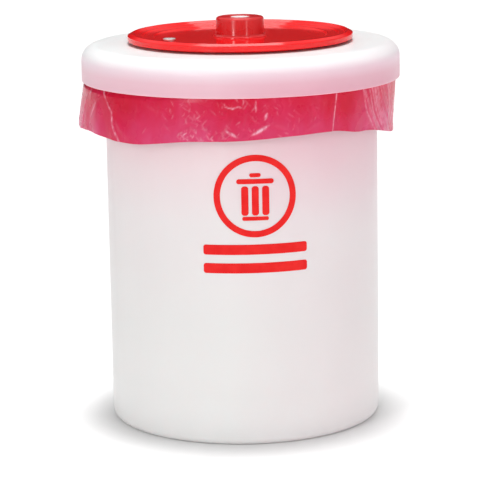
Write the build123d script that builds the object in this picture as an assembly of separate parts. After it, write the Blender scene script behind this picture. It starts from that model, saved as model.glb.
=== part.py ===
"""A round laboratory waste bin of about 20 litres: an open can with a wide rim, a film liner
turned over the rim, a slip-on lid with a central opening, and a dished cover that swings
aside on an off-centre pivot.

Millimetres, +Z up. The origin is the centre of the can's footprint on the floor, and every
turned piece is a profile of (radius, height, corner radius) rows revolved about its axis.
"""

import os
from math import cos, radians, sin

from build123d import *

# Driving dimensions of the can
CAN_RADIUS = 136.0
CAN_WALL = 3.2
CAN_FLOOR = 3.6
CAN_TOP = 374.8
FOOT_RADIUS = 7.0  # rounding at the bottom edge
FOOT_RING_INNER = 108.0  # the middle of the floor is pushed up inside this radius
FLOOR_PUSH_UP = 3.0
RIM_RADIUS = 154.5
RIM_ROUND = 11.0  # rounding at the rim's outer edge, inside the lid's shoulder
RIM_LIP_DROP = 15.0

# Driving dimensions of the liner
FILM = 0.8  # stands for a much thinner film
FILM_GAP = 0.2  # between the film and the can
CUFF_JOIN_RADIUS = 142.5  # on top of the rim, where the cuff begins
CUFF_BOTTOM = 304.0

# Driving dimensions of the lid
LID_RADIUS = 158.75
LID_TOP = 379.0
LID_PLATE = 3.0
LID_SHOULDER = 15.0
LID_SKIRT_WALL = 2.5
LID_SKIRT_BOTTOM = 343.5
OPENING_RADIUS = 63.5

# Driving dimensions of the cover and its knob
COVER_WALL = 2.5
COVER_RADIUS = 112.3
COVER_RIM_TOP = 389.2
COVER_FLOOR_TOP = 384.6
COVER_FLOOR_RADIUS = 85.0
COVER_TERRACE_RADIUS = 97.0
COVER_STEP = 1.2  # rise of each terrace
COVER_STEP_RUN = 1.6  # width of the slope between terraces
COVER_LIP_WIDTH = 5.4
COVER_LIP_HEIGHT = 7.4  # from the lip's lower edge to its crest
COVER_LIP_SLOPE = 3.2  # width of the slope up to the crest
COVER_SHOULDER_RUN = 4.2  # the lip's outward slope from its crest to its upright edge
COVER_SHOULDER_DROP = 2.1
COVER_EDGE = 0.8  # rounding of the cover's edges
COVER_FOOT_RADIUS = 101.5
COVER_FOOT_WIDTH = 3.5
COVER_CLEARANCE = 0.4  # between the cover's foot ring and the lid
KNOB_RADIUS = 23.9
KNOB_TOP = 404.0
KNOB_WALL = 3.4
KNOB_BOSS_RADIUS = 8.5
KNOB_CEILING = 6.5  # solid thickness over the cored-out ring
KNOB_FOOT_FLARE = 2.7
KNOB_FOOT_HEIGHT = 2.3
KNOB_FOOT_EDGE = 0.5
KNOB_TOP_ROUND = 3.0
KNOB_LAND = 2.4  # width of the flat between the cap's recess and the knob's rounding
CAP_RADIUS = 9.4
CAP_THICKNESS = 2.0
CAP_RECESS = 0.6  # the cap's rim lies this far below the knob's top
CAP_DOME = 0.5
COUNTERBORE_RADIUS = 6.6
COUNTERBORE_DEPTH = 7.0

# Fasteners
KNOB_SCREW_RADIUS = 2.5
KNOB_SCREW_HEAD_RADIUS = 4.8
KNOB_SCREW_HEAD = 2.6
DRIVER_RECESS = 4.6  # length of the cross-shaped recess
DRIVER_RECESS_DEPTH = 1.5
KNOB_WASHER = 1.0
BARREL_RADIUS = 3.6
BARREL_FLANGE_RADIUS = 8.0
BARREL_FLANGE = 1.3
BARREL_LENGTH = 9.0
BARREL_BLIND = 1.0  # thickness closing the sleeve's lower end
SCREW_TIP_ROOM = 1.0  # between the screw's tip and the closed end
PIVOT_FROM_AXIS = 77.0
PIVOT_ANGLE = 205.3  # about +Z from +X, so the pivot is on the left and towards the front
PIVOT_BOLT_RADIUS = 3.0
PIVOT_HEAD_RADIUS = 6.4
PIVOT_HEAD = 1.7
PIVOT_WASHER = 0.8
PIVOT_WASHER_RADIUS = 5.6
BUSH_RADIUS = 4.4
BUSH_FLANGE_RADIUS = 9.0
BUSH_CLEARANCE = 0.25  # above and below the cover's floor
RUNNING = 0.06  # radial clearance of a running fit
PIVOT_NUT_ACROSS_FLATS = 10.0
PIVOT_NUT = 6.0
PIVOT_NUT_COLLAR = 1.6
PIVOT_BOLT_PAST_NUT = 1.5
TOUCH = 0.02  # radial room between clamped pieces of one body

lid_under = LID_TOP - LID_PLATE
cover_floor_under = COVER_FLOOR_TOP - COVER_WALL
pivot_x = PIVOT_FROM_AXIS * cos(radians(PIVOT_ANGLE))
pivot_y = PIVOT_FROM_AXIS * sin(radians(PIVOT_ANGLE))


def turned(*rows):
    """A solid of revolution about Z from (radius, height, corner radius) rows, which go
    anticlockwise round the section; a row without a corner radius is a sharp corner."""
    points = [(row[0], row[1]) for row in rows]
    corners = [row[2] if len(row) > 2 else 0 for row in rows]
    section = make_face(FilletPolyline(*points, radius=corners, close=True))
    return revolve(Plane.XZ * section, axis=Axis.Z)


def ring(inner, outer, bottom, top, edge=0.0):
    """A plain ring, or a disc where inner is 0, with its outer edges rounded by edge."""
    return turned((inner, bottom), (outer, bottom, edge), (outer, top, edge), (inner, top))


def drilled(solid, radius, bottom, top):
    """The solid with a hole along the pivot axis."""
    hole = Pos(pivot_x, pivot_y, bottom) * Cylinder(
        radius, top - bottom, align=(Align.CENTER, Align.CENTER, Align.MIN)
    )
    return solid - hole


def on_pivot(solid):
    """A piece turned about Z, moved to the pivot axis."""
    return Pos(pivot_x, pivot_y, 0) * solid


def can_body():
    inner = CAN_RADIUS - CAN_WALL
    lip_bottom = CAN_TOP - RIM_LIP_DROP
    return turned(
        (0, FLOOR_PUSH_UP),
        (FOOT_RING_INNER - 4, FLOOR_PUSH_UP, 2),
        (FOOT_RING_INNER, 0, 1),
        (CAN_RADIUS, 0, FOOT_RADIUS),
        (CAN_RADIUS, CAN_TOP - CAN_WALL, 3),
        (RIM_RADIUS - CAN_WALL, CAN_TOP - CAN_WALL, RIM_ROUND - CAN_WALL),
        (RIM_RADIUS - CAN_WALL, lip_bottom, 1),
        (RIM_RADIUS, lip_bottom, 1),
        (RIM_RADIUS, CAN_TOP, RIM_ROUND),
        (inner, CAN_TOP, 3),
        (inner, CAN_FLOOR, FOOT_RADIUS - 1),
        (FOOT_RING_INNER + 2, CAN_FLOOR, 2),
        (FOOT_RING_INNER - 2, CAN_FLOOR + FLOOR_PUSH_UP, 3),
        (0, CAN_FLOOR + FLOOR_PUSH_UP),
    )


def bag_liner():
    """The liner's inside and the part on the rim, out to where the cuff turns down."""
    outer = CAN_RADIUS - CAN_WALL - FILM_GAP
    inner = outer - FILM
    over = CAN_TOP + FILM_GAP
    under = CAN_FLOOR + FLOOR_PUSH_UP + FILM_GAP
    join = CUFF_JOIN_RADIUS
    return turned(
        (0, under),
        (FOOT_RING_INNER, under, 2),
        (outer, CAN_FLOOR + FILM_GAP, FOOT_RADIUS),
        (outer, over, 3),
        (join, over),
        (join, over + FILM),
        (inner, over + FILM, 3 + FILM),
        (inner, CAN_FLOOR + FILM_GAP + FILM, FOOT_RADIUS - FILM),
        (FOOT_RING_INNER, under + FILM, 2),
        (0, under + FILM),
    )


def bag_cuff():
    """The liner's outer end, turned down round the rim and hanging outside the can."""
    inner = RIM_RADIUS + FILM_GAP
    over = CAN_TOP + FILM_GAP
    join = CUFF_JOIN_RADIUS
    inner_round = RIM_ROUND + FILM_GAP
    return turned(
        (inner, CUFF_BOTTOM),
        (inner + FILM, CUFF_BOTTOM),
        (inner + FILM, over + FILM, inner_round + FILM),
        (join, over + FILM),
        (join, over),
        (inner, over, inner_round),
    )


def lid_ring():
    """A flat ring with a rounded shoulder and a skirt that slips over the rim."""
    skirt_inner = LID_RADIUS - LID_SKIRT_WALL
    skirt_edge = LID_SKIRT_WALL * 0.35
    lid = turned(
        (OPENING_RADIUS, lid_under, 1.0),
        (skirt_inner, lid_under, LID_SHOULDER - LID_SKIRT_WALL),
        (skirt_inner, LID_SKIRT_BOTTOM, skirt_edge),
        (LID_RADIUS, LID_SKIRT_BOTTOM, skirt_edge),
        (LID_RADIUS, LID_TOP, LID_SHOULDER),
        (OPENING_RADIUS, LID_TOP, 1.0),
    )
    return drilled(lid, PIVOT_BOLT_RADIUS + RUNNING, lid_under - 1, LID_TOP + 1)


def swing_cover():
    """A shallow dish on a foot ring: a floor, two terraces and a lip, which slopes outward from
    its crest and hangs down as a skirt."""
    foot_bottom = LID_TOP + COVER_CLEARANCE
    first = COVER_FLOOR_TOP + COVER_STEP
    second = first + COVER_STEP
    floor_slope = COVER_FLOOR_RADIUS + COVER_STEP_RUN
    terrace_slope = COVER_TERRACE_RADIUS + COVER_STEP_RUN
    lip_inner = COVER_RADIUS - COVER_LIP_WIDTH
    lip_bottom = COVER_RIM_TOP - COVER_LIP_HEIGHT
    lip_under = second - COVER_WALL
    skirt_inner = COVER_RADIUS - COVER_WALL
    foot_inner = COVER_FOOT_RADIUS - COVER_FOOT_WIDTH
    dish = turned(
        (0, cover_floor_under),
        (COVER_FLOOR_RADIUS, cover_floor_under, COVER_EDGE),
        (floor_slope, first - COVER_WALL, COVER_EDGE),
        (foot_inner, first - COVER_WALL, COVER_EDGE),
        (foot_inner, foot_bottom, COVER_EDGE),
        (COVER_FOOT_RADIUS, foot_bottom, COVER_EDGE),
        (COVER_FOOT_RADIUS, lip_under, COVER_EDGE),
        (skirt_inner, lip_under, COVER_EDGE),
        (skirt_inner, lip_bottom, COVER_EDGE),
        (COVER_RADIUS, lip_bottom, COVER_EDGE),
        (COVER_RADIUS, COVER_RIM_TOP - COVER_SHOULDER_DROP, COVER_EDGE),
        (COVER_RADIUS - COVER_SHOULDER_RUN, COVER_RIM_TOP, COVER_EDGE),
        (lip_inner, COVER_RIM_TOP, COVER_EDGE),
        (lip_inner - COVER_LIP_SLOPE, second, COVER_EDGE),
        (terrace_slope, second, COVER_EDGE),
        (COVER_TERRACE_RADIUS, first, COVER_EDGE),
        (floor_slope, first, COVER_EDGE),
        (COVER_FLOOR_RADIUS, COVER_FLOOR_TOP, COVER_EDGE),
        (0, COVER_FLOOR_TOP),
    )
    dish -= ring(0, BARREL_RADIUS + TOUCH, cover_floor_under - 1, COVER_FLOOR_TOP + 1)
    return drilled(dish, BUSH_RADIUS + RUNNING, cover_floor_under - 1, COVER_FLOOR_TOP + 1)


def cover_knob():
    """A knob cored out from below, with a boss for the fastener and a recess for its cap."""
    recess_bottom = KNOB_TOP - CAP_RECESS - CAP_THICKNESS
    bore_bottom = recess_bottom - COUNTERBORE_DEPTH
    core_outer = KNOB_RADIUS - KNOB_WALL
    core_top = KNOB_TOP - KNOB_CEILING
    foot_radius = KNOB_RADIUS + KNOB_FOOT_FLARE
    bore = BARREL_RADIUS + TOUCH
    barrel_top = cover_floor_under + BARREL_LENGTH
    return turned(
        (bore, COVER_FLOOR_TOP),
        (KNOB_BOSS_RADIUS, COVER_FLOOR_TOP),
        (KNOB_BOSS_RADIUS, core_top, 1.5),
        (core_outer, core_top, 3),
        (core_outer, COVER_FLOOR_TOP),
        (foot_radius, COVER_FLOOR_TOP),
        (foot_radius, COVER_FLOOR_TOP + KNOB_FOOT_EDGE, 0.3),
        (KNOB_RADIUS, COVER_FLOOR_TOP + KNOB_FOOT_HEIGHT, 1.2),
        (KNOB_RADIUS, KNOB_TOP, KNOB_TOP_ROUND),
        (CAP_RADIUS + KNOB_LAND, KNOB_TOP, 0.6),
        (CAP_RADIUS + TOUCH, KNOB_TOP - CAP_RECESS, 0.3),
        (CAP_RADIUS + TOUCH, recess_bottom),
        (COUNTERBORE_RADIUS, recess_bottom),
        (COUNTERBORE_RADIUS, bore_bottom),
        (KNOB_SCREW_RADIUS + TOUCH, bore_bottom),
        (KNOB_SCREW_RADIUS + TOUCH, barrel_top + TOUCH),
        (bore, barrel_top + TOUCH),
    )


def knob_cap():
    """A press-in plug with a slightly domed face."""
    bottom = KNOB_TOP - CAP_RECESS - CAP_THICKNESS
    return turned(
        (0, bottom),
        (CAP_RADIUS, bottom),
        (CAP_RADIUS, bottom + CAP_THICKNESS, 0.6),
        (0, bottom + CAP_THICKNESS + CAP_DOME),
    )


def knob_screw_seat():
    """Height of the counterbore's floor, where the washer under the screw head lies."""
    return KNOB_TOP - CAP_RECESS - CAP_THICKNESS - COUNTERBORE_DEPTH


def knob_washer():
    seat = knob_screw_seat()
    return ring(KNOB_SCREW_RADIUS + TOUCH, COUNTERBORE_RADIUS - 0.4, seat, seat + KNOB_WASHER)


def cross_recess(top, size, depth):
    """The tool for a cross-shaped driver recess cut down from top."""
    blade = Box(size, size * 0.28, depth, align=(Align.CENTER, Align.CENTER, Align.MAX))
    return Pos(0, 0, top) * (blade + Rot(0, 0, 90) * blade)


def knob_screw():
    under_head = knob_screw_seat() + KNOB_WASHER
    head_top = under_head + KNOB_SCREW_HEAD
    shank_bottom = cover_floor_under - BARREL_FLANGE + BARREL_BLIND + SCREW_TIP_ROOM
    screw = turned(
        (0, shank_bottom),
        (KNOB_SCREW_RADIUS, shank_bottom, 0.4),
        (KNOB_SCREW_RADIUS, under_head),
        (KNOB_SCREW_HEAD_RADIUS, under_head, 0.3),
        (KNOB_SCREW_HEAD_RADIUS, head_top, 1.2),
        (0, head_top),
    )
    return screw - cross_recess(head_top, DRIVER_RECESS, DRIVER_RECESS_DEPTH)


def knob_barrel_nut():
    """A low sleeve nut from below: a thin flange under the cover and a barrel in the knob."""
    flange_bottom = cover_floor_under - BARREL_FLANGE
    barrel_top = cover_floor_under + BARREL_LENGTH
    blind = flange_bottom + BARREL_BLIND
    return turned(
        (0, flange_bottom),
        (BARREL_FLANGE_RADIUS, flange_bottom, 0.5),
        (BARREL_FLANGE_RADIUS, cover_floor_under, 0.2),
        (BARREL_RADIUS, cover_floor_under),
        (BARREL_RADIUS, barrel_top, 0.3),
        (KNOB_SCREW_RADIUS + TOUCH, barrel_top),
        (KNOB_SCREW_RADIUS + TOUCH, blind),
        (0, blind),
    )


def bush_top():
    return COVER_FLOOR_TOP + BUSH_CLEARANCE


def pivot_bush():
    """A flanged bush: it spaces the cover off the lid and the cover turns on its neck."""
    return on_pivot(
        turned(
            (PIVOT_BOLT_RADIUS + RUNNING, LID_TOP),
            (BUSH_FLANGE_RADIUS, LID_TOP, 0.4),
            (BUSH_FLANGE_RADIUS, cover_floor_under - BUSH_CLEARANCE, 0.4),
            (BUSH_RADIUS, cover_floor_under - BUSH_CLEARANCE),
            (BUSH_RADIUS, bush_top(), 0.2),
            (PIVOT_BOLT_RADIUS + RUNNING, bush_top()),
        )
    )


def pivot_washer_top():
    bottom = bush_top()
    bore = PIVOT_BOLT_RADIUS + RUNNING
    return on_pivot(ring(bore, PIVOT_WASHER_RADIUS, bottom, bottom + PIVOT_WASHER, 0.2))


def pivot_bolt():
    """A low round-headed bolt through cover, bush and lid."""
    under_head = bush_top() + PIVOT_WASHER
    nut_bottom = lid_under - PIVOT_WASHER - PIVOT_NUT
    bolt = turned(
        (0, nut_bottom - PIVOT_BOLT_PAST_NUT),
        (PIVOT_BOLT_RADIUS, nut_bottom - PIVOT_BOLT_PAST_NUT, 0.5),
        (PIVOT_BOLT_RADIUS, under_head),
        (PIVOT_HEAD_RADIUS, under_head, 0.4),
        (PIVOT_HEAD_RADIUS, under_head + PIVOT_HEAD - 0.5, 0.8),
        (0, under_head + PIVOT_HEAD),
    )
    return on_pivot(bolt)


def pivot_washer_bottom():
    bore = PIVOT_BOLT_RADIUS + RUNNING
    return on_pivot(ring(bore, BUSH_FLANGE_RADIUS - 1, lid_under - PIVOT_WASHER, lid_under, 0.2))


def pivot_nut():
    """A hexagon lock nut with a round collar at its lower end."""
    top = lid_under - PIVOT_WASHER
    bore = PIVOT_BOLT_RADIUS + TOUCH
    flats = Plane.XY.offset(top - PIVOT_NUT + PIVOT_NUT_COLLAR) * RegularPolygon(
        PIVOT_NUT_ACROSS_FLATS / 2, 6, major_radius=False
    )
    hexagon = extrude(flats, amount=PIVOT_NUT - PIVOT_NUT_COLLAR)
    collar_radius = PIVOT_NUT_ACROSS_FLATS / 2 - 0.3
    body = hexagon + ring(0, collar_radius, top - PIVOT_NUT, top - 1, 0.5)
    return on_pivot(body - ring(0, bore, top - PIVOT_NUT - 1, top + 1))


PARTS = (
    can_body,
    bag_liner,
    bag_cuff,
    lid_ring,
    swing_cover,
    cover_knob,
    knob_cap,
    knob_washer,
    knob_screw,
    knob_barrel_nut,
    pivot_bush,
    pivot_washer_top,
    pivot_bolt,
    pivot_washer_bottom,
    pivot_nut,
)

os.makedirs("parts", exist_ok=True)
for make in PARTS:
    export_step(make(), f"parts/{make.__name__}.step")
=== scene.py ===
"""Looks of the biohazard waste bin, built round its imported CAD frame. Metres, +Z up."""

import math
from collections import namedtuple

import bpy
import numpy as np
from mathutils import Matrix, Vector
from mathutils.kdtree import KDTree


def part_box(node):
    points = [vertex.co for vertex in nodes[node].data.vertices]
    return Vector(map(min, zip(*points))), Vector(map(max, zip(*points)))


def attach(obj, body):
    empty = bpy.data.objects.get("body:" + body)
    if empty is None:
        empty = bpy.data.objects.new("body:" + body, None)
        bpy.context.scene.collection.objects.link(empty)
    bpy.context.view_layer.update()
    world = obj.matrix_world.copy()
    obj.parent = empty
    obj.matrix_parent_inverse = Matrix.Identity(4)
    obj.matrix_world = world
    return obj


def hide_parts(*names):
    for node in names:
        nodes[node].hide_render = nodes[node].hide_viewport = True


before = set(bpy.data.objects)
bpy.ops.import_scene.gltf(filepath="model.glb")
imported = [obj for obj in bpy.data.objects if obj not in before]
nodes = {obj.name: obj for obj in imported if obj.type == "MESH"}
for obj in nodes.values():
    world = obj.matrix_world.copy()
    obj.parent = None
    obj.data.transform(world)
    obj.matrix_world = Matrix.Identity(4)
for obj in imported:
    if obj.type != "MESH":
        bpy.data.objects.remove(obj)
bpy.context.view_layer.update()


def reach(node, low, high):
    """A CAD node's greatest distance from the Z axis between two heights."""
    points = [v.co for v in nodes[node].data.vertices]
    return max(math.hypot(p.x, p.y) for p in points if low <= p.z <= high)


# Places read from the frame
FOOT_ZONE = 0.03  # the can's straight wall starts below this height
can_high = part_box("can_body")[1]
cuff_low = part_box("bag_cuff")[0]
lid_low, lid_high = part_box("lid_ring")
bolt_low, bolt_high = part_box("pivot_bolt")
can_radius = reach("can_body", 0, FOOT_ZONE)
liner_radius = reach("bag_liner", 0, FOOT_ZONE)
rim_radius = can_high.x
rim_top = can_high.z
lid_radius = lid_high.x
pivot = (bolt_low + bolt_high) / 2


# Camera, lights and floor

EYE_DISTANCE = 2.30  # of the camera in front of the can's axis
EYE_HEIGHT = 0.6505
AIM_HEIGHT = 0.1765
AIM_LEFT = 0.0036
ROLL = -0.0172  # radians
LENS = 173.5  # mm, as is the sensor's width
SENSOR = 36.0
CAMERA_REACH = 60.0  # how far off it still sees
STRIP_FOOT = 0.40  # height of the strip lights' lower ends
FRONT_GLOW, BACK_GLOW, TOP_GLOW = 0.50, 0.03, 0.50  # the world's strength each way
FRONT_TO_BACK = (-0.2, 0.4)  # Y of the direction, where the front gives way to the back
SIDE_TO_TOP = (0.28, 0.55)  # Z of the direction, where the sides give way to the top
FLOOR_RADIUS = 14.0
FLOOR_SIDES = 96


def add_camera():
    """Looks at the bin as the photo does."""
    data = bpy.data.cameras.new("camera")
    data.lens = LENS
    data.sensor_width = SENSOR
    data.clip_end = CAMERA_REACH
    camera = bpy.data.objects.new("camera", data)
    bpy.context.scene.collection.objects.link(camera)
    eye = Vector((0, -EYE_DISTANCE, EYE_HEIGHT))
    aim = Vector((-AIM_LEFT, 0, AIM_HEIGHT))
    turn = (aim - eye).to_track_quat("-Z", "Y").to_matrix() @ Matrix.Rotation(ROLL, 3, "Z")
    camera.matrix_world = Matrix.Translation(eye) @ turn.to_4x4()
    bpy.context.scene.camera = camera


def add_strip(name, azimuth, distance, size, power, foot=STRIP_FOOT, in_gloss=True):
    """A standing strip light that faces the bin; azimuth 0 is the camera's side."""
    data = bpy.data.lights.new(name, "AREA")
    data.shape = "RECTANGLE"
    data.size, data.size_y = size
    data.energy = power
    light = bpy.data.objects.new(name, data)
    bpy.context.scene.collection.objects.link(light)
    light.visible_camera = False
    light.visible_glossy = in_gloss
    a = math.radians(azimuth)
    away = Vector((math.sin(a), -math.cos(a), 0))
    middle = Vector((0, 0, foot + size[1] / 2))
    turn = (-away).to_track_quat("-Z", "Y").to_matrix().to_4x4()
    light.matrix_world = Matrix.Translation(middle + away * distance) @ turn


def add_world():
    """A studio, grey overhead and towards the front and dark behind, so gloss stays clean."""
    world = bpy.data.worlds.new("studio")
    bpy.context.scene.world = world
    world.use_nodes = True
    tree = world.node_tree

    def span(value, low, high, to_low, to_high):
        node = tree.nodes.new("ShaderNodeMapRange")
        tree.links.new(value, node.inputs[0])
        for socket, number in zip(node.inputs[1:5], (low, high, to_low, to_high)):
            socket.default_value = number
        return node.outputs[0]

    coords = tree.nodes.new("ShaderNodeTexCoord")
    split = tree.nodes.new("ShaderNodeSeparateXYZ")
    tree.links.new(coords.outputs["Generated"], split.inputs[0])
    around = span(split.outputs["Y"], *FRONT_TO_BACK, FRONT_GLOW, BACK_GLOW)
    mixer = tree.nodes.new("ShaderNodeMix")
    tree.links.new(span(split.outputs["Z"], *SIDE_TO_TOP, 0.0, 1.0), mixer.inputs[0])
    tree.links.new(around, mixer.inputs[2])
    mixer.inputs[3].default_value = TOP_GLOW
    back = tree.nodes["Background"]
    back.inputs["Color"].default_value = (1, 1, 1, 1)
    tree.links.new(mixer.outputs[0], back.inputs["Strength"])


def add_sun(name, azimuth, elevation, spread, power, in_gloss):
    """A broad light from far off, seen either in gloss or by diffuse surfaces only."""
    data = bpy.data.lights.new(name, "SUN")
    data.angle = math.radians(spread)
    data.energy = power
    light = bpy.data.objects.new(name, data)
    bpy.context.scene.collection.objects.link(light)
    light.visible_glossy = in_gloss
    light.visible_diffuse = not in_gloss
    a, e = math.radians(azimuth), math.radians(elevation)
    away = Vector((math.sin(a) * math.cos(e), -math.cos(a) * math.cos(e), math.sin(e)))
    light.rotation_mode = "QUATERNION"
    light.rotation_quaternion = (-away).to_track_quat("-Z", "Y")


def add_floor():
    """A wide pale floor, far enough out to fill the view."""
    turns = [2 * math.pi * i / FLOOR_SIDES for i in range(FLOOR_SIDES)]
    ring = [(FLOOR_RADIUS * math.cos(a), FLOOR_RADIUS * math.sin(a), 0) for a in turns]
    mesh = bpy.data.meshes.new("floor")
    mesh.from_pydata(ring, [], [tuple(range(FLOOR_SIDES))])
    floor = bpy.data.objects.new("floor", mesh)
    bpy.context.scene.collection.objects.link(floor)
    look = Look("floor_white", Roughness=0.8)
    cloud = look.noise(2.0, detail=3)
    look.colour(look.blend(cloud, (0.93, 0.93, 0.93), (0.95, 0.95, 0.95)))
    floor.data.materials.append(look.material)


# Materials

LINER_GLOW_BEARING = math.radians(322)  # of the side where the painted red glow of the liner on the can and lid is strongest
LINER_GLOW_TINT = (0.95, 0.70, 0.78)  # what multiplies the colour there: the painted red glow of the liner
LEAST_LINER_GLOW = 0.25  # of that painted glow, at the far end of that side
LINER_GLOW_FOOT = 0.20  # height on the can from which it grows
CLOUD_TINT = (0.965, 0.96, 0.96)
COVER_REDS = ((0.84, 0.004, 0.006), (0.92, 0.005, 0.008))
KNOB_REDS = ((0.62, 0.006, 0.010), (0.68, 0.008, 0.012))
SPECK_RED = (0.85, 0.20, 0.18)
# pale pink along creases: painted highlights, partly the creased film's whitening
CREASE_WHITENING_AND_HIGHLIGHT = (0.88, 0.46, 0.58)

# The can's and the lid's colours from foot to top, as (position, colour)
BEHIND_CUFF = 0.03  # the can's go on this far up behind the cuff
# the can's: lighter at the foot as painted light, pink near the top as painted red glow of the liner
CAN_STOPS = (
    (0.0, (0.870, 0.855, 0.847)),
    (0.15, (0.800, 0.785, 0.777)),
    (0.35, (0.765, 0.750, 0.743)),
    (0.66, (0.775, 0.725, 0.730)),
    (0.84, (0.800, 0.655, 0.680)),
    (1.0, (0.800, 0.610, 0.645)),
)
# the lid's: pink on the skirt as painted red glow of the cuff behind, lighter up the shoulder partly
# as painted light
LID_STOPS = (
    (0.0, (0.76, 0.465, 0.535)),
    (0.35, (0.79, 0.50, 0.57)),
    (0.62, (0.86, 0.67, 0.73)),
    (0.80, (0.91, 0.86, 0.875)),
    (1.0, (0.92, 0.91, 0.91)),
)

# The film's colours from deep red to pink
FILM_STOPS = (
    (0.0, (0.56, 0.003, 0.030)),
    (0.33, (0.59, 0.014, 0.068)),
    (0.66, (0.61, 0.034, 0.115)),
    (1.0, (0.65, 0.085, 0.215)),
)


class Look:
    """A procedural material round one Principled shader, in object space."""

    def __init__(self, name, **constants):
        self.material = bpy.data.materials.new(name)
        self.material.use_nodes = True
        self.tree = self.material.node_tree
        self.shader = self.tree.nodes["Principled BSDF"]
        for socket, value in constants.items():
            self.shader.inputs[socket.replace("_", " ")].default_value = value
        self.place = self.add("ShaderNodeTexCoord").outputs["Object"]
        self.xyz = self.add("ShaderNodeSeparateXYZ", {0: self.place})

    def add(self, kind, inputs=None, **settings):
        node = self.tree.nodes.new(kind)
        for key, value in settings.items():
            setattr(node, key, value)
        for key, value in (inputs or {}).items():
            self.put(node.inputs[key], value)
        return node

    def put(self, socket, value):
        if isinstance(value, bpy.types.NodeSocket):
            self.tree.links.new(value, socket)
        elif socket.type == "RGBA":
            socket.default_value = (*value, 1.0)
        else:
            socket.default_value = value

    def noise(self, scale, detail=2.0, stretch=(1, 1, 1)):
        where = self.add("ShaderNodeMapping", {"Vector": self.place, "Scale": stretch})
        inputs = {"Vector": where.outputs[0], "Scale": scale, "Detail": detail}
        return self.add("ShaderNodeTexNoise", inputs).outputs[0]

    def span(self, value, low, high, to_low=0.0, to_high=1.0):
        """value taken from low..high to to_low..to_high, clamped."""
        inputs = {0: value, 1: low, 2: high, 3: to_low, 4: to_high}
        return self.add("ShaderNodeMapRange", inputs).outputs[0]

    def math(self, operation, a, b):
        return self.add("ShaderNodeMath", {0: a, 1: b}, operation=operation).outputs[0]

    def ramp(self, value, stops):
        """A colour from a list of (position, colour) stops."""
        node = self.add("ShaderNodeValToRGB", {0: value})
        elements = node.color_ramp.elements
        while len(elements) < len(stops):
            elements.new(0.5)
        for element, (position, colour) in zip(elements, stops):
            element.position = position
            element.color = (*colour, 1.0)
        return node.outputs[0]

    def blend(self, factor, a, b, kind="MIX"):
        inputs = {"Fac": factor, "Color1": a, "Color2": b}
        return self.add("ShaderNodeMixRGB", inputs, blend_type=kind).outputs[0]

    def tinted(self, factor, base, tint):
        """The colour base, multiplied by tint as far as factor says."""
        return self.blend(factor, base, self.blend(1.0, base, tint, "MULTIPLY"))

    def colour(self, value):
        self.put(self.shader.inputs["Base Color"], value)

    def roughness(self, value):
        self.put(self.shader.inputs["Roughness"], value)

    def bump(self, height, depth):
        """Adds a bump of that depth in metres on top of any before it."""
        inputs = {"Height": height, "Distance": depth}
        before = self.shader.inputs["Normal"].links
        if before:
            inputs["Normal"] = before[0].from_socket
        self.put(self.shader.inputs["Normal"], self.add("ShaderNodeBump", inputs).outputs[0])


def painted_liner_glow(look, radius, least, full):
    """How much painted red glow of the liner a piece of that radius takes towards LINER_GLOW_BEARING,
    where the liner is bunched: LEAST_LINER_GLOW up to the height least, and all of it at the height
    full."""
    across = look.math("MULTIPLY", look.xyz.outputs["X"], math.cos(LINER_GLOW_BEARING))
    toward = look.math("MULTIPLY", look.xyz.outputs["Y"], math.sin(LINER_GLOW_BEARING))
    around = look.span(look.math("ADD", across, toward), 0.5 * radius, radius)
    fall = look.span(look.xyz.outputs["Z"], least, full, LEAST_LINER_GLOW, 1.0)
    side = look.math("MULTIPLY", around, fall)
    patchy = look.span(look.noise(7.0, stretch=(1, 1, 0.6)), 0.35, 0.65)
    return look.math("MULTIPLY", side, look.math("ADD", look.math("MULTIPLY", patchy, 0.5), 0.5))


def milky_plastic(name, low, high, stops, pink, depth):
    """Translucent natural polyethylene, with a painted red glow where the liner lies behind it.

    stops are (position, colour) from height low to height high. pink is the radius and the
    two heights of painted_liner_glow. depth is how far light travels inside."""
    look = Look(name, Roughness=0.42, Subsurface_Weight=0.5, Subsurface_Scale=depth)
    look.shader.inputs["Subsurface Radius"].default_value = (1.0, 0.8, 0.8)
    look.shader.inputs["Specular IOR Level"].default_value = 0.4
    tint = look.ramp(look.span(look.xyz.outputs["Z"], low, high), stops)
    # painted red glow of the liner, seen through the plastic
    tint = look.tinted(painted_liner_glow(look, *pink), tint, LINER_GLOW_TINT)
    cloud = look.span(look.noise(22.0, detail=4, stretch=(1, 1, 0.35)), 0.3, 0.7)
    look.colour(look.tinted(look.math("MULTIPLY", cloud, 0.35), tint, CLOUD_TINT))
    scuff = look.span(look.noise(60.0, detail=6, stretch=(1, 1, 0.12)), 0.55, 0.75)
    look.roughness(look.span(look.math("ADD", scuff, look.noise(14.0)), 0.3, 1.4, 0.34, 0.52))
    look.bump(look.noise(9.0, detail=1, stretch=(1, 1, 0.4)), depth=0.0008)
    look.bump(look.noise(1100.0, detail=1), depth=0.00002)
    look.bump(scuff, depth=0.00003)
    return look.material


def red_plastic(name, reds, grain, gloss, rough, spread):
    """Glossy red plastic, clouded between two reds, with a fine grain; spread is how far
    turning marks draw its glints out upright."""
    look = Look(name, Roughness=rough, Anisotropic=spread, Anisotropic_Rotation=0.25)
    look.shader.inputs["Specular IOR Level"].default_value = gloss
    cloud = look.span(look.noise(18.0, detail=3), 0.3, 0.7)
    speck = look.span(look.noise(700.0, detail=1), 0.70, 0.78)
    tone = look.blend(cloud, *reds)
    look.colour(look.blend(look.math("MULTIPLY", speck, 0.2), tone, SPECK_RED))
    wipe = look.span(look.noise(45.0, detail=5, stretch=(1, 0.25, 1)), 0.45, 0.75)
    look.roughness(look.span(wipe, 0.0, 1.0, 0.8 * rough, 1.4 * rough))
    look.bump(look.noise(grain), depth=0.000007)
    look.bump(wipe, depth=0.00001)
    return look.material


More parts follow.
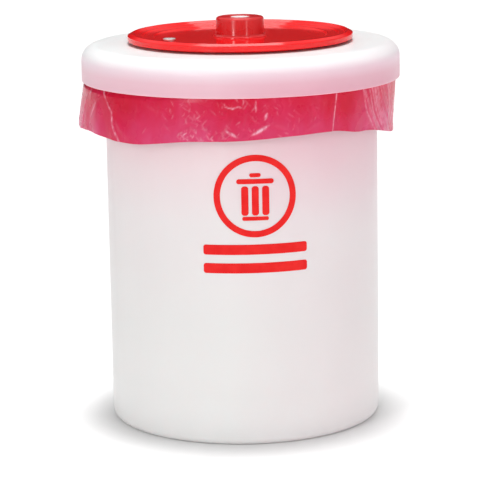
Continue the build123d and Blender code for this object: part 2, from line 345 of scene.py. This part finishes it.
def white_plastic(name):
    look = Look(name, Roughness=0.35)
    cloud = look.span(look.noise(120.0, detail=3), 0.3, 0.7)
    look.colour(look.blend(cloud, (0.93, 0.93, 0.93), (0.97, 0.97, 0.97)))
    look.roughness(look.span(look.noise(300.0), 0.2, 0.8, 0.28, 0.42))
    look.bump(look.noise(1500.0, detail=1), depth=0.00001)
    return look.material


def steel(name, centre):
    """Stainless steel with turning marks round a vertical axis through centre."""
    look = Look(name, Metallic=1.0, Roughness=0.28)
    shift = {"Vector": look.place, "Location": (-centre.x, -centre.y, 0)}
    where = look.add("ShaderNodeMapping", shift).outputs[0]
    marks = {"Vector": where, "Scale": 900.0, "Distortion": 1.5, "Detail": 2.0}
    wave = look.add("ShaderNodeTexWave", marks, wave_type="RINGS", rings_direction="Z")
    rings = wave.outputs[1]
    stain = look.span(look.noise(160.0, detail=3), 0.3, 0.7)
    look.colour(look.blend(stain, (0.82, 0.81, 0.80), (0.92, 0.91, 0.90)))
    look.roughness(look.span(rings, 0.0, 1.0, 0.34, 0.5))
    look.bump(rings, depth=0.00001)
    return look.material


def film():
    """Thin red film, from deep red to pink by its tone, and pale along creases: painted highlights
    there, partly the creased film's whitening.
    """
    look = Look("bag_film", Roughness=0.26)
    look.shader.inputs["Specular IOR Level"].default_value = 0.2
    # pale: painted highlights along creases, partly the creased film's whitening, broken up by noise
    pale = look.add("ShaderNodeAttribute", attribute_name="pale").outputs["Fac"]
    broken = look.span(look.noise(330.0, detail=3, stretch=(1, 1, 0.7)), 0.38, 0.58, 0.3, 1.1)
    pale = look.math("MULTIPLY", pale, broken)
    film_tone = look.add("ShaderNodeAttribute", attribute_name="film_tone").outputs["Fac"]
    streak = look.span(look.noise(28.0, detail=3, stretch=(1, 1, 0.3)), 0.3, 0.7, -0.12, 0.12)
    mottle = look.span(look.noise(130.0, detail=3, stretch=(1, 1, 0.6)), 0.35, 0.75, -0.05, 0.10)
    tone = look.math("ADD", film_tone, look.math("ADD", streak, mottle))
    look.colour(look.blend(pale, look.ramp(tone, FILM_STOPS), CREASE_WHITENING_AND_HIGHLIGHT))
    look.roughness(look.span(look.noise(40.0, detail=3), 0.3, 0.7, 0.2, 0.34))
    look.bump(look.noise(90.0, stretch=(1, 1, 0.25)), depth=0.0002)
    return look.material


def ink():
    look = Look("print_ink", Roughness=0.45)
    look.shader.inputs["Specular IOR Level"].default_value = 0.15
    cloud = look.span(look.noise(90.0, detail=4), 0.35, 0.7)
    look.colour(look.blend(cloud, (0.74, 0.010, 0.010), (0.80, 0.020, 0.018)))
    look.roughness(look.span(look.noise(400.0), 0.2, 0.8, 0.38, 0.52))
    look.bump(look.noise(900.0), depth=0.00002)
    return look.material


def paint_nodes():
    """Gives every carried CAD node its material."""
    # where each takes the painted red glow of the liner
    can_liner_glow = (can_radius, LINER_GLOW_FOOT, cuff_low.z)
    lid_liner_glow = (lid_radius, lid_high.z, lid_low.z)
    can_top = cuff_low.z + BEHIND_CUFF
    can = milky_plastic("can_plastic", 0.0, can_top, CAN_STOPS, can_liner_glow, depth=0.004)
    lid = milky_plastic("lid_plastic", lid_low.z, lid_high.z, LID_STOPS, lid_liner_glow, depth=0.006)
    red = red_plastic("cover_plastic", COVER_REDS, grain=500.0, gloss=0.45, rough=0.11, spread=0.0)
    knob_red = red_plastic("knob_plastic", KNOB_REDS, grain=700.0, gloss=0.9, rough=0.30, spread=0.9)
    white = white_plastic("white_plastic")
    turned = steel("turned_steel", pivot)
    plain = steel("plain_steel", Vector((0, 0, 0)))
    looks = {
        "can_body": can,
        "lid_ring": lid,
        "swing_cover": red,
        "cover_knob": knob_red,
        "knob_cap": white,
        "pivot_bush": white,
        "knob_washer": plain,
        "knob_screw": plain,
        "knob_barrel_nut": plain,
        "pivot_bolt": turned,
        "pivot_washer_top": turned,
        "pivot_washer_bottom": turned,
        "pivot_nut": turned,
    }
    for name, look in looks.items():
        mesh = nodes[name].data
        mesh.materials.clear()
        mesh.materials.append(look)


# The liner: one sheet of film from the middle of the can's floor to the cuff's hem

COLUMNS = 1000

# Its rows, on the way from the floor's middle to the hem
FLOOR_ROWS = 12
BEND_ROWS = 5
WALL_ROWS = 63
LIP_ROWS = 4
TOP_ROWS = 4
ROLL_ROWS = 10
CUFF_ROWS = 66

FILM_CLEARANCE = 0.0004  # between the film and what it lies on
FLOOR_HEIGHT = 0.0072  # of the film on the can's pushed-up floor
FLOOR_START = 0.03  # the innermost row, as a share of the floor's radius
FOOT_BEND = 0.010  # the film's bend from the floor up the wall
LIP_ROUND = 0.0035  # its bend onto the rim's top
CUFF_ROUND = 0.0112  # its bend off the rim's top
SEED = 7

# How far the cuff stands off the rim, and its tone
SKIRT_ROOM = 0.0005  # at most, inside the lid's skirt
SKIRT_EDGE = 0.0005  # the skirt still holds it this far below its own foot
FREE_DROP = 0.040  # it hangs quite free this far below the skirt
SWAY, SWAY_LEFT = 0.0003, 0.0042  # outwards all round; outwards on the left, inwards on the right
STEP_OUT, STEP_DROP = 0.0019, 0.004  # a step on the left, just below the skirt
WAVES = ((0.0007, 5, 1.0), (0.0006, 9, 2.2))  # (size, count round the can, phase)
RIPPLES = ((0.0004, 17, 0.6), (0.0003, 31, 0.0))
FREE_WAVES, HEM_WAVES = 0.4, 0.7  # how much of WAVES comes with hanging free and at the hem
HELD_RISE = 0.15  # how much of a crease's rise is left at the skirt
SKIRT_TONE, HEM_TONE, TONE_BEND = 0.14, 0.50, 1.2  # at the skirt, added at the hem, its power

# The film on the can's wall and floor
WALL_STAND = 0.0012  # in from the wall, before its waves and creases
WALL_TONE = 0.25
TIGHT_DROP, SLACK_DROP = 0.014, 0.06  # below the rim's top, where it turns tight and slack
FLOOR_SWELL = 0.0030  # it swells up by this on the floor, but not at the floor's edge
FLOOR_EDGE = 0.02

# On the wall it is crumpled into cells with sharp borders, all round but for a thin seam
CRUMPLE_ROUND = math.radians(359.9)
CRUMPLE_FOOT, CRUMPLE_TOP = 0.012, 0.35
CELL = 0.022  # about as wide as one
CELL_RISE = 0.0022  # over the width of one, from its middle out
BORDER_WIDTH = 0.0006

# A crease's ends, where they aren't open
END_FADE = 0.7  # the power of a sine along the crease
END_WIDTH = 0.3  # of its pale line, as a share of its width halfway

# The hem's bends: (degrees anticlockwise from +X, drop below the lid's skirt)
HEM = (
    (20, 0.041), (60, 0.038), (100, 0.044), (140, 0.040), (184, 0.045),
    (202, 0.043), (228, 0.047), (256, 0.041), (304, 0.037), (320, 0.042), (352, 0.053),
)  # fmt: skip

# A crease runs through points of (degrees, height). It stands up by rise and falls away over
# the gentle width on one side of it and the steep one on the other. Along its top runs a painted
# highlight, a line of that paleness and width. Its ends are open where it runs on, else they fade.
Crease = namedtuple("Crease", "points rise steep gentle pale width open_ends")


def hung(points):
    """Points of (degrees, height) from points of (degrees, drop), where the drop is 0 at the
    lid's skirt and 1 at the cuff's foot."""
    return tuple((a, lid_low.z + drop * (cuff_low.z - lid_low.z)) for a, drop in points)


def fold(*points, rise=0.0010, gentle=0.009, pale=0.7, width=0.0007):
    """A long fold of the cuff, through points of (degrees, drop), that runs on past its ends."""
    return Crease(hung(points), rise, steep=0.0012, gentle=gentle, pale=pale, width=width,
                  open_ends=True)


def stroke(*points, pale=0.7, width=0.0008):
    """A short wrinkle of the cuff, through points of (degrees, drop), thin at both ends."""
    return Crease(hung(points), rise=0.8 * width, steep=1.5 * width, gentle=4 * width,
                  pale=pale, width=width, open_ends=False)


# The folds and glints that stand out at the front, from left to right; their pale lines are painted
# highlights
MAIN_CREASES = (
    fold((184, -0.1), (184, 1.2), pale=0.6, width=0.0022),
    fold((198, -0.1), (193, 1.1), pale=0.35, width=0.0012),
    stroke((201, -0.1), (201, 0.3), pale=0.6, width=0.0013),
    stroke((208, 0.2), (202, 0.8), pale=0.5, width=0.0012),
    fold((210, -0.1), (218, 0.5), (219, 0.8), (223, 1.2), gentle=0.013),
    stroke((264, 0.2), (267, 0.25), (269, 0.2), (271, 0.25), pale=0.8, width=0.0007),
    stroke((264, 0.75), (269, 0.95), pale=1.0, width=0.0010),
    stroke((273, 0.9), (280, 0.65), pale=1.0, width=0.0014),
    stroke((275, 0.05), (275, 0.35), pale=0.6),
    stroke((279, 0.35), (278, 0.55), pale=0.9, width=0.0011),
    fold((306, -0.1), (304, 1.1), width=0.00055),
)

# The film's tone round the can: deeper red (below 0) or pinker (above 0), as
# (degrees, half width, amount)
TONES = (
    (20, 12, 0.2), (62, 9, -0.2), (98, 14, 0.15), (121, 6, -0.25), (150, 12, 0.2), (168, 6, -0.15),
    (189, 5, 0.2), (207, 5, 0.1), (222, 9, -0.2), (255, 7, 0.1), (284, 9, 0.1), (302, 3, -0.2),
    (310, 4, -0.3), (338, 6, 0.25),
)  # fmt: skip


def smooth(value, start, end):
    """0 up to start and 1 from end on, eased between them."""
    t = np.clip((value - start) / (end - start), 0, 1)
    return t * t * (3 - 2 * t)


def hem_height(angles):
    """The hem's height, eased from each of its bends to the next."""
    at = np.array([a + turn for turn in (-360, 0, 360) for a, _ in HEM], float)
    drop = np.array([d for _ in range(3) for _, d in HEM])
    x = np.degrees(angles) % 360
    k = np.searchsorted(at, x, side="right") - 1
    return lid_low.z - drop[k] - (drop[k + 1] - drop[k]) * smooth(x, at[k], at[k + 1])


def waved(angle, waves, base=0.0):
    """base and a sum of waves round the can, each of (size, count, phase)."""
    return sum((size * np.cos(count * angle + phase) for size, count, phase in waves), base)


def beside(spots, points):
    """For spots near the line through points: how far they are from it, on which side of it
    (1 or -1), and how far along it, from 0 to 1."""
    lengths = np.linalg.norm(np.diff(points, axis=0), axis=1)
    best = np.full(len(spots), 1.0)
    side = np.zeros(len(spots))
    along = np.zeros(len(spots))
    start = 0.0
    for a, b, length in zip(points[:-1], points[1:], lengths):
        t = np.clip(((spots - a) @ (b - a)) / length**2, 0, 1)
        gap = spots - (a + t[:, None] * (b - a))
        far = np.hypot(gap[:, 0], gap[:, 1])
        cross = (b - a)[1] * gap[:, 0] - (b - a)[0] * gap[:, 1]
        nearer = far < best
        best = np.where(nearer, far, best)
        side = np.where(nearer, np.sign(cross), side)
        along = np.where(nearer, (start + t * length) / lengths.sum(), along)
        start += length
    return best, side, along


def creased(angle, height, radius, creases):
    """Height added by the creases and their paleness, a painted highlight, on points of a cylinder."""
    rise = np.zeros_like(angle)
    pale = np.zeros_like(angle)
    around = 2 * math.pi * radius
    for crease in creases:
        points = np.array([(math.radians(a) * radius, z) for a, z in crease.points])
        middle = points[:, 0].mean()
        u = (angle * radius - middle + around / 2) % around - around / 2 + middle
        room = max(crease.steep, crease.gentle)
        u_low, z_low = points.min(axis=0) - room
        u_high, z_high = points.max(axis=0) + room
        near = (u > u_low) & (u < u_high) & (height > z_low) & (height < z_high)
        if not near.any():
            continue
        far, side, along = beside(np.stack([u[near], height[near]], -1), points)
        slope = np.where(side > 0, crease.gentle, crease.steep)
        fade = 1.0 if crease.open_ends else np.sin(np.pi * np.clip(along, 0, 1)) ** END_FADE
        width = crease.width * (END_WIDTH + (1 - END_WIDTH) * fade)
        rise[near] += crease.rise * fade * np.clip(1 - far / slope, 0, 1)
        pale[near] = np.maximum(pale[near], crease.pale * fade * np.exp(-((far / width) ** 2)))
    return rise, pale


def crumpled(angle, height, radius, draw):
    """Height added by the crumpled cells, and how pale the film is along their borders as a painted
    highlight.
    """
    rise = np.zeros_like(angle)
    pale = np.zeros_like(angle)
    width = CRUMPLE_ROUND * radius
    depth = CRUMPLE_TOP - CRUMPLE_FOOT
    count = int(width * depth / CELL**2)
    tree = KDTree(count)
    for i in range(count):
        middle = (draw.uniform(-CELL, width + CELL), draw.uniform(-CELL, depth + CELL), 0)
        tree.insert(middle, i)
    tree.balance()
    strength = draw.uniform(0, 1, (count, 2))
    u = (angle % (2 * math.pi)) * radius
    v = height - CRUMPLE_FOOT
    for k in np.flatnonzero((u < width) & (v > 0) & (v < depth)):
        x, y = u.flat[k], v.flat[k]
        bend = 0.4 * CELL * math.sin(y / CELL * 1.7 + 2.0 * math.sin(x / CELL))
        (_, first, d1), (_, second, d2) = tree.find_n((x + bend, y, 0), 2)
        from_side = min(x, width - x) / CELL
        from_end = min(y, depth - y) / CELL
        fade = min(1.0, from_side / 1.5) * min(1.0, 0.3 + from_end)
        rise.flat[k] = CELL_RISE * fade * (d1 / CELL - 0.5)
        pair = strength[first, 0] * strength[second, 1]
        line = math.exp(-(((d2 - d1) / BORDER_WIDTH) ** 2))
        pale.flat[k] = fade * pair**2 * line
    return rise, np.clip(pale, 0, 1)


def long_folds(draw, count, tops, turn, bow, gentle, rise, pale, width):
    """Folds from the skirt to the hem at random places; all but count and gentle are ranges."""
    made = []
    for _ in range(count):
        top = draw.uniform(*tops)
        bottom = top + draw.uniform(*turn)
        points = ((top, -0.1), ((top + bottom) / 2 + draw.uniform(*bow), 0.6), (bottom, 1.3))
        size, white, line = draw.uniform(*rise), draw.uniform(*pale), draw.uniform(*width)
        made.append(fold(*points, rise=size, gentle=gentle, pale=white, width=line))
    return made


def wrinkles(draw, count, around, down, lean, half, pale, width):
    """Short wrinkles at random places; all but count are ranges."""
    made = []
    for _ in range(count):
        a, drop = draw.uniform(*around), draw.uniform(*down)
        side, tall = draw.uniform(*lean), draw.uniform(*half)
        foot, head = (a - side, drop + tall), (a + side, drop - tall)
        points = (foot, (a + draw.uniform(-0.4, 0.4), drop), head)
        made.append(stroke(*points, pale=draw.uniform(*pale), width=draw.uniform(*width)))
    return made


def swells(draw, count):
    """Soft swells all round the cuff, each with a faint painted sheen."""
    made = []
    for _ in range(count):
        a, drop = draw.uniform(0, 360), draw.uniform(0.1, 1)
        lean, half = draw.uniform(-5, 5), draw.uniform(0.1, 0.4)
        foot, head = (a - lean, drop + half), (a + lean, drop - half)
        points = hung((foot, (a + draw.uniform(-1, 1), drop), head))
        rise = draw.uniform(0.0003, 0.0008)
        made.append(Crease(points, rise, steep=0.003, gentle=0.008, pale=0.03, width=0.002,
                           open_ends=False))
    return made


def cuff_creases():
    """The main creases, a fan of folds at the right and more at the back, wrinkles, swells."""
    draw = np.random.default_rng(SEED)
    made = list(MAIN_CREASES)
    fan, back = (318, 340), (-10, 178)
    front, middle, cluster = (232, 300), (248, 284), (248, 260)
    made += long_folds(draw, 34, tops=fan, turn=(11, 17), bow=(-3, 0), gentle=0.004,
                       rise=(0.0001, 0.0003), pale=(0, 0.45), width=(0.0003, 0.0012))
    made += long_folds(draw, 26, tops=back, turn=(-14, 14), bow=(-2, 2), gentle=0.009,
                       rise=(0.0004, 0.0012), pale=(0.1, 0.5), width=(0.0004, 0.0011))
    made += wrinkles(draw, 60, around=front, down=(0, 1), lean=(-1.6, 1.2), half=(0.02, 0.10),
                     pale=(0.05, 0.26), width=(0.0003, 0.0007))
    made += wrinkles(draw, 60, around=middle, down=(0, 1), lean=(-1.6, 1.2), half=(0.02, 0.11),
                     pale=(0.06, 0.34), width=(0.0003, 0.0008))
    made += wrinkles(draw, 12, around=cluster, down=(0.8, 1), lean=(-1.2, 1.2), half=(0.02, 0.07),
                     pale=(0.25, 0.7), width=(0.0005, 0.0009))
    made += wrinkles(draw, 70, around=back, down=(0, 1), lean=(-2, 1.5), half=(0.03, 0.16),
                     pale=(0.05, 0.4), width=(0.0003, 0.0008))
    return made + swells(draw, 60)


def inside_creases():
    """Long soft folds down the can's inside, as a slack bag has, with painted highlights along them.
    """
    draw = np.random.default_rng(SEED + 1)
    made = []
    for _ in range(70):
        a, z = draw.uniform(0, 360), draw.uniform(0.03, 0.30)
        half, lean = draw.uniform(0.03, 0.13), draw.uniform(-9, 9)
        points = ((a - lean, z - half), (a + draw.uniform(-2, 2), z), (a + lean, z + half))
        rise, gentle = draw.uniform(0.001, 0.004), draw.uniform(0.006, 0.02)
        made.append(Crease(points, rise, steep=0.002, gentle=gentle, pale=draw.uniform(0, 0.5),
                           width=0.0007, open_ends=False))
    return made


def steps(low, high, count):
    """count even steps from low to high, low itself left out."""
    return np.linspace(low, high, count + 1)[1:]


def liner_rows(angles):
    """Radius, height and zone of each row, from the floor's middle to the hem."""
    wall = liner_radius - FILM_CLEARANCE
    foot = wall - FOOT_BEND
    over = rim_top + FILM_CLEARANCE
    outer = rim_radius + FILM_CLEARANCE
    quarter = math.pi / 2
    radii, heights, zones = [], [], []

    def row(radius, height, zone):
        radii.append(radius * np.ones_like(angles))
        heights.append(height * np.ones_like(angles))
        zones.append(zone)

    for t in np.linspace(FLOOR_START, 1, FLOOR_ROWS):
        row(t * foot, FLOOR_HEIGHT, "floor")
    for t in steps(0, quarter, BEND_ROWS):
        row(foot + FOOT_BEND * math.sin(t), FLOOR_HEIGHT + FOOT_BEND * (1 - math.cos(t)), "wall")
    for z in steps(FLOOR_HEIGHT + FOOT_BEND, over - LIP_ROUND, WALL_ROWS):
        row(wall, z, "wall")
    for t in steps(0, quarter, LIP_ROWS):
        row(wall + LIP_ROUND * (1 - math.cos(t)), over - LIP_ROUND * (1 - math.sin(t)), "lip")
    for r in steps(wall + LIP_ROUND, outer - CUFF_ROUND, TOP_ROWS):
        row(r, over, "lip")
    for t in steps(0, quarter, ROLL_ROWS):
        row(outer - CUFF_ROUND * (1 - math.sin(t)), over - CUFF_ROUND * (1 - math.cos(t)), "lip")
    top, hem = over - CUFF_ROUND, hem_height(angles)
    for t in steps(0, 1, CUFF_ROWS):
        row(outer, top + (hem - top) * t, "cuff")
    return np.array(radii), np.array(heights), np.array(zones)


def shape_cuff(angle, height):
    """How far the cuff stands off the rim's radius, how pale it is with painted highlights, and its
    tone.
    """
    below = lid_low.z - height
    free = np.clip(below / FREE_DROP, 0, 1)
    hang = smooth(-height, -lid_low.z, -cuff_low.z)
    sway = SWAY - SWAY_LEFT * np.cos(angle)
    step = np.clip(below / STEP_DROP, 0, 1) * STEP_OUT * np.clip(-np.cos(angle), 0, 1)
    waves, ripples = waved(angle, WAVES), waved(angle, RIPPLES)
    rise, pale = creased(angle, height, rim_radius, cuff_creases())
    off = step + free * (sway + FREE_WAVES * waves) + hang * (HEM_WAVES * waves + ripples)
    off += rise * (HELD_RISE + (1 - HELD_RISE) * free)
    held = height > lid_low.z - SKIRT_EDGE
    off = np.where(held, np.clip(off, 0, SKIRT_ROOM), off)
    # deeper red near the lid's skirt, pinker towards the hem, then shifted in bands round the can
    tone = SKIRT_TONE + HEM_TONE * hang**TONE_BEND
    for middle, half, amount in TONES:
        apart = (np.degrees(angle) - middle + 180) % 360 - 180
        tone += amount * np.exp(-((apart / half) ** 2))
    return off, pale, tone


def shape_wall(angle, height):
    """How far the film stands in from the can's wall, and how pale it is with painted highlights."""
    rise, pale = creased(angle, height, liner_radius, inside_creases())
    fine, borders = crumpled(angle, height, liner_radius, np.random.default_rng(SEED + 3))
    slanting = ((0.0008, 7, 9 * height), (0.0005, 16, -14 * height))
    room = smooth(-height, -rim_top + TIGHT_DROP, -rim_top + SLACK_DROP)
    inward = np.clip(waved(angle, slanting, WALL_STAND) + np.abs(rise) + fine, 0, None)
    return inward * room, np.maximum(pale, borders) * room


def make_liner():
    """The whole film as one mesh, which carries how pale it is with painted highlights, and its tone.
    """
    angles = np.arange(COLUMNS) * 2 * math.pi / COLUMNS
    radius, height, zones = liner_rows(angles)
    angle = np.tile(angles, (len(zones), 1))
    pale = np.zeros_like(radius)
    film_tone = np.zeros_like(radius)

    cuff = zones == "cuff"
    off, pale[cuff], film_tone[cuff] = shape_cuff(angle[cuff], height[cuff])
    radius[cuff] += off
    wall = zones == "wall"
    inward, pale[wall] = shape_wall(angle[wall], height[wall])
    radius[wall] -= inward
    film_tone[wall] = WALL_TONE
    floor = zones == "floor"
    r, a = radius[floor], angle[floor]
    dunes = 0.5 + 0.5 * np.cos(6 * a + 60 * r) * np.cos(3 * a - 95 * r + 1)
    height[floor] += FLOOR_SWELL * dunes * smooth(-r, -r.max(), -r.max() + FLOOR_EDGE)

    x, y = radius * np.cos(angle), radius * np.sin(angle)
    points = np.stack([x, y, height], -1).reshape(-1, 3)
    points = np.vstack([points, [(0, 0, height[0].mean())]])
    rows = len(zones)
    index = np.arange(rows * COLUMNS).reshape(rows, COLUMNS)
    following = np.roll(index, -1, axis=1)
    quads = np.stack([index[1:], following[1:], following[:-1], index[:-1]], -1).reshape(-1, 4)
    middle = np.full(COLUMNS, len(points) - 1)
    fan = np.stack([index[0], following[0], middle], -1)
    mesh = bpy.data.meshes.new("liner_bag")
    mesh.from_pydata(points.tolist(), [], quads.tolist() + fan.tolist())
    mesh.polygons.foreach_set("use_smooth", [True] * len(mesh.polygons))
    for name, field in (("pale", pale), ("film_tone", film_tone)):
        layer = mesh.attributes.new(name, "FLOAT", "POINT")
        layer.data.foreach_set("value", np.append(field.ravel(), 0.0))
    mesh.materials.append(film())
    bag = bpy.data.objects.new("liner_bag", mesh)
    bpy.context.scene.collection.objects.link(bag)
    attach(bag, "can")
    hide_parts("bag_liner", "bag_cuff")


# The printed mark: a ring with a plain lidded bin in it, over two bars

PRINT_ANGLE = math.radians(275)  # of its middle line on the can
INK_LOW, INK_HIGH = -0.0001, 0.00014  # the ink's faces, from the can's surface
RING_MIDDLE = 0.2467  # height on the can
RING_RADIUS = 0.0400
RING_WIDTH = 0.0062
RING_STEPS = 120
BAR_SIZE = (0.1020, 0.0098)
BAR_HEIGHTS = (0.1948, 0.1767)
BAR_STEPS = 12  # from a bar's middle to the start of its end
END_STEPS = 8  # round each quarter of its end
BIN_MIDDLE = RING_MIDDLE - 0.0045
SLAT_SIZE, SLAT_PITCH = (0.0068, 0.0285), 0.0100

# The little bin's base, lid and handle: height from its middle, width, height, end's roundness
BIN_BARS = (
    (-0.0172, 0.0255, 0.0038, 0.9),
    (0.0188, 0.0360, 0.0048, 1.0),
    (0.0248, 0.0110, 0.0040, 1.0),
)


def wrapped(u, v, lift):
    """The point u along and v up the can's front, lift off its surface."""
    a = PRINT_ANGLE + u / can_radius
    r = can_radius + lift
    return (r * math.cos(a), r * math.sin(a), v)


def slab(grid, closed=False):
    """Points and faces of a thin plate of ink over a grid of (u, v) rows of equal length."""
    rows, columns = len(grid), len(grid[0])
    points = [wrapped(u, v, lift) for lift in (INK_HIGH, INK_LOW) for row in grid for u, v in row]
    under = rows * columns
    faces = []
    last = columns if closed else columns - 1
    for j in range(last):
        k = (j + 1) % columns
        for i in range(rows - 1):
            a, b = i * columns + j, i * columns + k
            c, d = b + columns, a + columns
            faces.append((a, b, c, d))
            faces.append((a + under, d + under, c + under, b + under))
        bottom, top = (j, k), ((rows - 1) * columns + j, (rows - 1) * columns + k)
        faces.append((bottom[1], bottom[0], bottom[0] + under, bottom[1] + under))
        faces.append((top[0], top[1], top[1] + under, top[0] + under))
    if not closed:
        for i in range(rows - 1):
            a, b = i * columns, (i + 1) * columns
            faces.append((a, b, b + under, a + under))
            c, d = a + columns - 1, b + columns - 1
            faces.append((d, c, c + under, d + under))
    return points, faces


def ring_grid(radius, width, middle):
    """A ring of that outer radius, as three circles from the inside out."""
    turns = [2 * math.pi * j / RING_STEPS for j in range(RING_STEPS)]
    circles = (radius - width, radius - width / 2, radius)
    return [[(r * math.cos(a), middle + r * math.sin(a)) for a in turns] for r in circles]


def bar_grid(centre, middle, width, height, end):
    """A bar with its ends rounded by end times half its height."""
    bend = end * height / 2
    straight, side = width / 2 - bend, height / 2 - bend
    turns = [math.pi / 2 * t / END_STEPS for t in range(END_STEPS + 1)]
    right = [(straight * t / BAR_STEPS, height / 2) for t in range(BAR_STEPS)]
    right += [(straight + bend * math.sin(a), side + bend * math.cos(a)) for a in turns]
    profile = [(-u, h) for u, h in reversed(right[1:])] + right
    return [[(centre + u, middle + way * h) for u, h in profile] for way in (-1, 1)]


def make_print():
    """The printed mark as one mesh of thin plates of ink."""
    slats = (-SLAT_PITCH, 0.0, SLAT_PITCH)
    pieces = [slab(ring_grid(RING_RADIUS, RING_WIDTH, RING_MIDDLE), closed=True)]
    pieces += [slab(bar_grid(0, z, *BAR_SIZE, end=0.5)) for z in BAR_HEIGHTS]
    pieces += [slab(bar_grid(x, BIN_MIDDLE, *SLAT_SIZE, end=0.2)) for x in slats]
    pieces += [slab(bar_grid(0, BIN_MIDDLE + up, *size, end)) for up, *size, end in BIN_BARS]
    points, faces = [], []
    for p, f in pieces:
        start = len(points)
        points += p
        faces += [tuple(i + start for i in face) for face in f]
    mesh = bpy.data.meshes.new("print_mark")
    mesh.from_pydata(points, [], faces)
    mesh.materials.append(ink())
    mark = bpy.data.objects.new("print_mark", mesh)
    bpy.context.scene.collection.objects.link(mark)
    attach(mark, "can")


add_camera()
add_world()
add_floor()
add_sun("overhead", azimuth=180, elevation=87.5, spread=12, power=2.40, in_gloss=False)
add_sun("softbox", azimuth=180, elevation=72, spread=40, power=1.20, in_gloss=True)
add_strip("key_left", azimuth=-32, distance=1.15, size=(0.15, 0.36), power=2.5)
add_strip("glint_right", azimuth=32, distance=1.15, size=(0.05, 0.36), power=0.8)
add_strip("fill_right", azimuth=60, distance=1.4, size=(0.6, 0.7), power=1.8, foot=0.0, in_gloss=False)
add_strip("fill_front", azimuth=-8, distance=1.6, size=(0.8, 0.9), power=0.7, foot=0.0, in_gloss=False)
bpy.context.scene.view_settings.view_transform = "Standard"
paint_nodes()
make_liner()
make_print()
